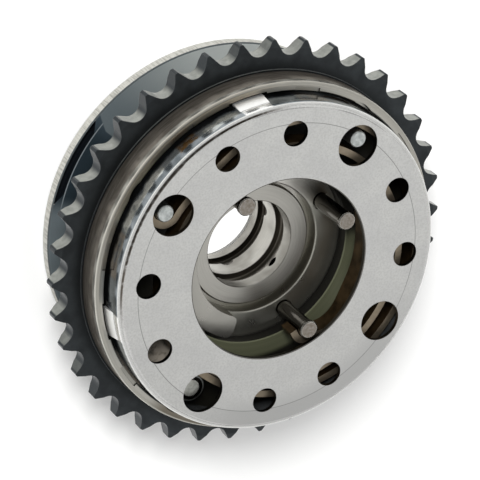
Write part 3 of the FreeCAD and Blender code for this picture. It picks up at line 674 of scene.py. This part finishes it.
stripLook = {
    "edge": "#8f8371",
    "edgePale": "#a09481",
    "side": "#614e36",
    "sideDark": "#382c1b",
    "oilyEdge": "#3b2c18",
    "metallic": 0.9,
    "roughness": 0.45,
    "rollingMm": 1.2,
    "reliefMm": 0.03,
    # angles are counted along the strip: it keeps to the rotor's pins up to the first one, and to the
    # housing's screws from the last one on
    "windsBetweenDeg": (480.0, 850.0),
    "windingPieces": 6,
    "weldMm": 0.001,
    "sharpDeg": 35.0,
}


def oilTemperedStrip():
    # spring steel strip, oil tempered: brown sides under a film of oil, slit edges paler
    look = stripLook
    material, tree, shader = startMaterial("oilTemperedStrip", look["metallic"], look["roughness"])
    place = placesOn(tree)
    side = paint(tree, look["side"], look["sideDark"], cloud(tree, place.mm, 4.0))
    edge = paint(tree, look["edge"], look["edgePale"], cloud(tree, place.mm, 2.5))
    colour = paint(tree, side, edge, above(tree, place.tilt, 0.7, 0.1))
    colour = paint(tree, colour, look["oilyEdge"], both(tree, edgeMask(tree, 0.14), 0.8))
    tree.links.new(colour, shader.inputs["Base Color"])
    # rolling marks run along the strip
    along = addNode(tree, "ShaderNodeVectorMath", {0: place.mm, 1: (1.0, 1.0, 9.0)},
                    operation="MULTIPLY").outputs[0]
    relief(tree, shader, cloud(tree, along, look["rollingMm"], low=0.0, high=1.0), look["reliefMm"])
    return material


smallSteelLook = {
    # colour, shade of the handling marks, and roughness
    "zincPlatedScrew": ("#d6dad8", "#b3b8b6", 0.42),  # pale, and dulled by its plating
    "surfaceGroundPlate": ("#8d8e8b", "#7d7e7b", 0.35),  # an even mid grey
    "hardenedGroundSteel": ("#8e8e8b", "#777774", 0.25),  # darker and smoother, as hard steel grinds
    "stainlessSpringWire": ("#a09e96", "#86847d", 0.3),  # drawn bright, with a warm tone
    "patchMm": 1.1,
    "grainMm": 0.3,
    "reliefMm": 0.015,
}


def smallSteel(name):
    # bar or wire steel of the small pieces: a plain smooth metal with faint handling marks
    colour, shade, roughness = smallSteelLook[name]
    material, tree, shader = startMaterial(name, 1.0, roughness)
    place = placesOn(tree)
    patches = cloud(tree, place.mm, smallSteelLook["patchMm"])
    tree.links.new(paint(tree, colour, shade, patches), shader.inputs["Base Color"])
    rough = addNode(tree, "ShaderNodeMapRange", {0: patches, 3: roughness - 0.05, 4: roughness + 0.08})
    tree.links.new(rough.outputs[0], shader.inputs["Roughness"])
    grain = cloud(tree, place.mm, smallSteelLook["grainMm"], low=0.0, high=1.0)
    relief(tree, shader, grain, smallSteelLook["reliefMm"])
    return material


pinLook = {
    "shaft": "#64615b",
    "tip": "#9d9790",
    "tipStain": "#837b70",
    "tipEdge": "#d8d6cf",
    "tipEdgeFromMm": 30.0,
    "shaftRoughness": 0.15,
    "tipRoughness": 0.36,
    "reliefMm": 0.03,
}


def groundPinSteel():
    # bearing steel bar, ground: a bright streak down the shaft, and a sawn, slightly stained tip
    look = pinLook
    material, tree, shader = startMaterial("groundPinSteel", 1.0, look["shaftRoughness"])
    place = placesOn(tree)
    tip = above(tree, place.up, 0.8, 0.1)
    end = paint(tree, look["tip"], look["tipStain"], cloud(tree, place.mm, 0.7))
    colour = paint(tree, look["shaft"], end, tip)
    bright = both(tree, edgeMask(tree, 0.32), above(tree, place.height, look["tipEdgeFromMm"], 1.0))
    tree.links.new(paint(tree, colour, look["tipEdge"], bright), shader.inputs["Base Color"])
    rough = addNode(tree, "ShaderNodeMapRange", {0: tip, 3: look["shaftRoughness"],
                                                 4: look["tipRoughness"]})
    tree.links.new(rough.outputs[0], shader.inputs["Roughness"])
    dents = both(tree, cloud(tree, place.mm, 0.35, low=0.0, high=1.0), tip)
    relief(tree, shader, dents, look["reliefMm"])
    return material


stopLook = {
    "end": "#c3c4bd",
    "endShade": "#a4a59e",
    "groove": "#1d1c19",
    "ring": "#8c8e8b",
    "ringFromRadiusMm": 2.8,
    "axisMm": (-16.85, -29.185),
    "grooveRadiiMm": (2.15, 2.9),
    "roughness": 0.38,
    "turningPitchMm": 0.25,
    "reliefMm": 0.01,
}


def turnedStopSteel():
    # free-cutting steel, turned: a pale end, a dark groove round it and a thin grey collar
    look = stopLook
    material, tree, shader = startMaterial("turnedStopSteel", 1.0, look["roughness"])
    place = placesOn(tree, look["axisMm"])
    colour = paint(tree, look["end"], look["endShade"], cloud(tree, place.mm, 0.8))
    collar = above(tree, place.radius, look["ringFromRadiusMm"], 0.05)
    colour = paint(tree, colour, look["ring"], collar)
    groove = between(tree, place.radius, look["grooveRadiiMm"], 0.04)
    colour = paint(tree, colour, look["groove"], groove)
    tree.links.new(colour, shader.inputs["Base Color"])
    relief(tree, shader, latheLines(tree, place, look["turningPitchMm"]), look["reliefMm"])
    return material


polymerLook = {
    # colour and its cloudy shade
    "mouldedPeekSeal": ("#23211f", "#2e2c29"),  # near black, as carbon fibre colours it
    "mouldedNylonSeat": ("#33302c", "#3e3a35"),  # a little paler, as glass fibre leaves it
    "patchMm": 0.8,
    "roughness": 0.55,
    "grainMm": 0.25,
    "reliefMm": 0.01,
}


def mouldedPolymer(name):
    # a filled polymer, moulded: matt, with a faint flow grain
    look = polymerLook
    colour, shade = look[name]
    material, tree, shader = startMaterial(name, 0.0, look["roughness"])
    place = placesOn(tree)
    patches = cloud(tree, place.mm, look["patchMm"])
    tree.links.new(paint(tree, colour, shade, patches), shader.inputs["Base Color"])
    relief(tree, shader, cloud(tree, place.mm, look["grainMm"], low=0.0, high=1.0), look["reliefMm"])
    return material


def giveFinish(names, material):
    for name in names:
        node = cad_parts[name]
        node.data.materials.clear()
        node.data.materials.append(material)


def fourOf(name):
    return ["%s_%d" % (name, i) for i in range(1, 5)]


giveFinish(["spring_cover"], drawnSheetSteel())
giveFinish(["front_plate"], turnedRimSteel())
giveFinish(["sprocket_housing"], steamTreatedSteel())
giveFinish(["trigger_wheel"], blankedSteel())
giveFinish(["rotor"], groundSinteredSteel())
giveFinish(["hub_sleeve"], fineTurnedSteel())
giveFinish(["return_spring"], oilTemperedStrip())
giveFinish(["spring_pins"], groundPinSteel())
giveFinish(["stop_screw"], turnedStopSteel())
giveFinish(["hanger_screws", "short_screw"], smallSteel("zincPlatedScrew"))
giveFinish(["rear_plate"], smallSteel("surfaceGroundPlate"))
giveFinish(["lock_pin", "lock_seat"], smallSteel("hardenedGroundSteel"))
giveFinish(["lock_spring"] + fourOf("vane_seal_spring") + fourOf("lobe_seal_spring"),
           smallSteel("stainlessSpringWire"))
giveFinish(fourOf("vane_seal") + fourOf("lobe_seal"), mouldedPolymer("mouldedPeekSeal"))
giveFinish(["lock_spring_seat"], mouldedPolymer("mouldedNylonSeat"))
print("stage: finishes given")


# The springs, whose pieces are hung on the rotor and the housing

def anglesAlongStrip(form):
    # how far round the axis each point lies, in degrees, counted on from the strip's inner end
    innermost = min(form.verts, key=lambda point: point.co.xy.length)
    angles = {innermost: math.degrees(math.atan2(innermost.co.y, innermost.co.x)) % 360.0}
    waiting = [innermost]
    while waiting:
        here = waiting.pop()
        for edge in here.link_edges:
            there = edge.other_vert(here)
            if there not in angles:
                a, b = here.co.xy, there.co.xy
                angles[there] = angles[here] + math.degrees(math.atan2(a.cross(b), a.dot(b)))
                waiting.append(there)
    return angles


def windSpring():
    # the inner turn stays on the rotor and the outer one on the housing, and the pieces between them
    # are hung on neither
    look = stripLook
    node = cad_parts["return_spring"]
    form = bmesh.new()
    form.from_mesh(node.data)
    bmesh.ops.remove_doubles(form, verts=form.verts, dist=look["weldMm"] / 1000.0)
    for edge in form.edges:
        edge.smooth = edge.calc_face_angle(0.0) < math.radians(look["sharpDeg"])
    angles = anglesAlongStrip(form)
    count = look["windingPieces"]
    first, last = look["windsBetweenDeg"]
    borders = [first + (last - first) * i / count for i in range(count + 1)]
    owners = [bisect.bisect(borders, sum(angles[point] for point in face.verts) / len(face.verts))
              for face in form.faces]
    for turn in range(count + 2):
        piece = form.copy()
        others = [face for face, owner in zip(piece.faces, owners) if owner != turn]
        bmesh.ops.delete(piece, geom=others, context="FACES")
        mesh = bpy.data.meshes.new("returnSpring%d" % turn)
        piece.to_mesh(mesh)
        piece.free()
        if "custom_normal" in mesh.attributes:
            mesh.attributes.remove(mesh.attributes["custom_normal"])
        mesh.materials.append(node.data.materials[0])
        strip = bpy.data.objects.new(mesh.name, mesh)
        bpy.context.scene.collection.objects.link(strip)
        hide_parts("return_spring")
        if turn == 0:
            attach(strip, "rotor")
        elif turn > count:
            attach(strip, "housing")
        else:
            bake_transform(strip)
    form.free()


def shortenLockSpring():
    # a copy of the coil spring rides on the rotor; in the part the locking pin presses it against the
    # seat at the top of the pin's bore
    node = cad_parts["lock_spring"]
    coil = bpy.data.objects.new("lockCoil", node.data.copy())
    bpy.context.scene.collection.objects.link(coil)
    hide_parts("lock_spring")
    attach(coil, "rotor")
    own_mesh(coil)


windSpring()
shortenLockSpring()
print("stage: springs made to follow the joints")


# Floor, light and camera

stageLook = {
    "floor": "#fbfbfa",
    "floorSizeM": 6.0,
    "floorDropM": 0.00002,
    "floorGlow": 0.04,
    "boreGlowRadiusM": 0.0118,
    # height in the sky, from 0 at the bottom to 1 at the top, and level
    "sky": [(0.0, 0.9), (0.35, 0.9), (0.6, 0.72), (0.74, 0.93), (1.0, 0.93)],
    "dimTowards": (0.426, -0.609, 0.669),
    "dimEdges": (0.983, 0.997),
    "dimLevel": 0.25,
    "darkTowards": (-0.196, 0.280, 0.940),
    "darkEdges": (0.80, 0.89),
    "darkLevel": 0.25,
    "evenLevel": 0.6,
    "keyFrom": (-0.6, 0.8, 0.97),
    "keySizeM": 0.4,
    "keyPower": 18.0,
}

cameraLook = {
    "place": (-0.281655, 0.240097, 0.496031),
    "lookAt": (-0.010916, 0.008402, 0.0352),
    "upward": (0.10573, 0.91197, -0.39641),
    "lensMm": 200.1,
    "sensorMm": 36.0,
    "shift": (-0.00104, 0.00104),
}


def makeFloor():
    half = stageLook["floorSizeM"] / 2
    corners = [(-half, -half, 0), (half, -half, 0), (half, half, 0), (-half, half, 0)]
    mesh = bpy.data.meshes.new("floor")
    mesh.from_pydata(corners, [], [(0, 1, 2, 3)])
    floor = bpy.data.objects.new("floor", mesh)
    bpy.context.scene.collection.objects.link(floor)
    floor.location.z = -stageLook["floorDropM"]
    material, tree, shader = startMaterial("paintedBoard", 0.0, 0.6)
    # the lens, and the metal that mirrors it, see the board a little paler, and bright through the bore
    ray = addNode(tree, "ShaderNodeLightPath").outputs
    seen = either(tree, ray["Is Camera Ray"], ray["Is Glossy Ray"], ray["Is Transmission Ray"])
    spot = addNode(tree, "ShaderNodeTexCoord").outputs["Object"]
    fromAxis = addNode(tree, "ShaderNodeVectorMath", {0: spot}, operation="LENGTH").outputs["Value"]
    bore = addNode(tree, "ShaderNodeMath", {0: fromAxis, 1: stageLook["boreGlowRadiusM"]},
                   operation="LESS_THAN").outputs[0]
    glow = addNode(tree, "ShaderNodeMapRange", {0: bore, 3: stageLook["floorGlow"], 4: 1.0}).outputs[0]
    shader.inputs["Base Color"].default_value = srgb(stageLook["floor"])
    shader.inputs["Emission Color"].default_value = (1, 1, 1, 1)
    tree.links.new(both(tree, glow, seen), shader.inputs["Emission Strength"])
    mesh.materials.append(material)


def lobe(tree, direction, towards, edges, level):
    # 1 in the open sky, and level around one direction
    match = addNode(tree, "ShaderNodeVectorMath", {0: direction, 1: towards},
                    operation="DOT_PRODUCT").outputs["Value"]
    return addNode(tree, "ShaderNodeMapRange", {0: match, 1: edges[0], 2: edges[1], 3: 1.0, 4: level},
                   interpolation_type="SMOOTHSTEP").outputs[0]


def makeSky():
    look = stageLook
    world = bpy.data.worlds.new("studio")
    bpy.context.scene.world = world
    world.use_nodes = True
    tree = world.node_tree
    tree.nodes.clear()
    direction = addNode(tree, "ShaderNodeTexCoord").outputs["Generated"]
    height = addNode(tree, "ShaderNodeSeparateXYZ", {0: direction}).outputs[2]
    ramp = addNode(tree, "ShaderNodeValToRGB", {0: height})
    elements = ramp.color_ramp.elements
    while len(elements) < len(look["sky"]):
        elements.new(0.5)
    for element, (place, level) in zip(elements, look["sky"]):
        element.position = place
        element.color = (level, level, level, 1)
    # the unlit room behind and over the lens, which draws the dark lines on polished edges
    dark = lobe(tree, direction, look["darkTowards"], look["darkEdges"], look["darkLevel"])
    dim = lobe(tree, direction, look["dimTowards"], look["dimEdges"], look["dimLevel"])
    # polished metal shows the studio with its dark parts, and all else is lit by an even sky
    glossy = addNode(tree, "ShaderNodeLightPath").outputs["Is Glossy Ray"]
    even = look["evenLevel"]
    tone = paint(tree, (even, even, even, 1.0), ramp.outputs[0], glossy)
    strength = addNode(tree, "ShaderNodeMapRange", {0: glossy, 3: 1.0, 4: both(tree, dark, dim)})
    sky = addNode(tree, "ShaderNodeBackground", {"Color": tone, "Strength": strength.outputs[0]})
    addNode(tree, "ShaderNodeOutputWorld", {"Surface": sky.outputs[0]})


def makeLamp(name, place, size, power):
    lamp = bpy.data.lights.new(name, "AREA")
    lamp.shape = "DISK"
    lamp.size = size
    lamp.energy = power
    holder = bpy.data.objects.new(name, lamp)
    bpy.context.scene.collection.objects.link(holder)
    holder.location = place
    holder.rotation_mode = "QUATERNION"
    holder.rotation_quaternion = (-Vector(place)).to_track_quat("-Z", "Y")
    holder.visible_glossy = False  # polished steel mirrors the sky and the board, without hot spots


def makeCamera():
    look = cameraLook
    camera = bpy.data.cameras.new("camera")
    camera.lens = look["lensMm"]
    camera.sensor_width = look["sensorMm"]
    camera.shift_x, camera.shift_y = look["shift"]
    camera.clip_start, camera.clip_end = 0.01, 20.0
    holder = bpy.data.objects.new("camera", camera)
    bpy.context.scene.collection.objects.link(holder)
    place = Vector(look["place"])
    back = (place - Vector(look["lookAt"])).normalized()
    side = Vector(look["upward"]).cross(back).normalized()
    up = back.cross(side)
    holder.matrix_world = Matrix.Translation(place) @ Matrix((side, up, back)).transposed().to_4x4()
    bpy.context.scene.camera = holder


makeFloor()
makeSky()
makeLamp("key", stageLook["keyFrom"], stageLook["keySizeM"], stageLook["keyPower"])
makeCamera()
bpy.context.scene.view_settings.view_transform = "Standard"
print("stage: floor, light and camera made")
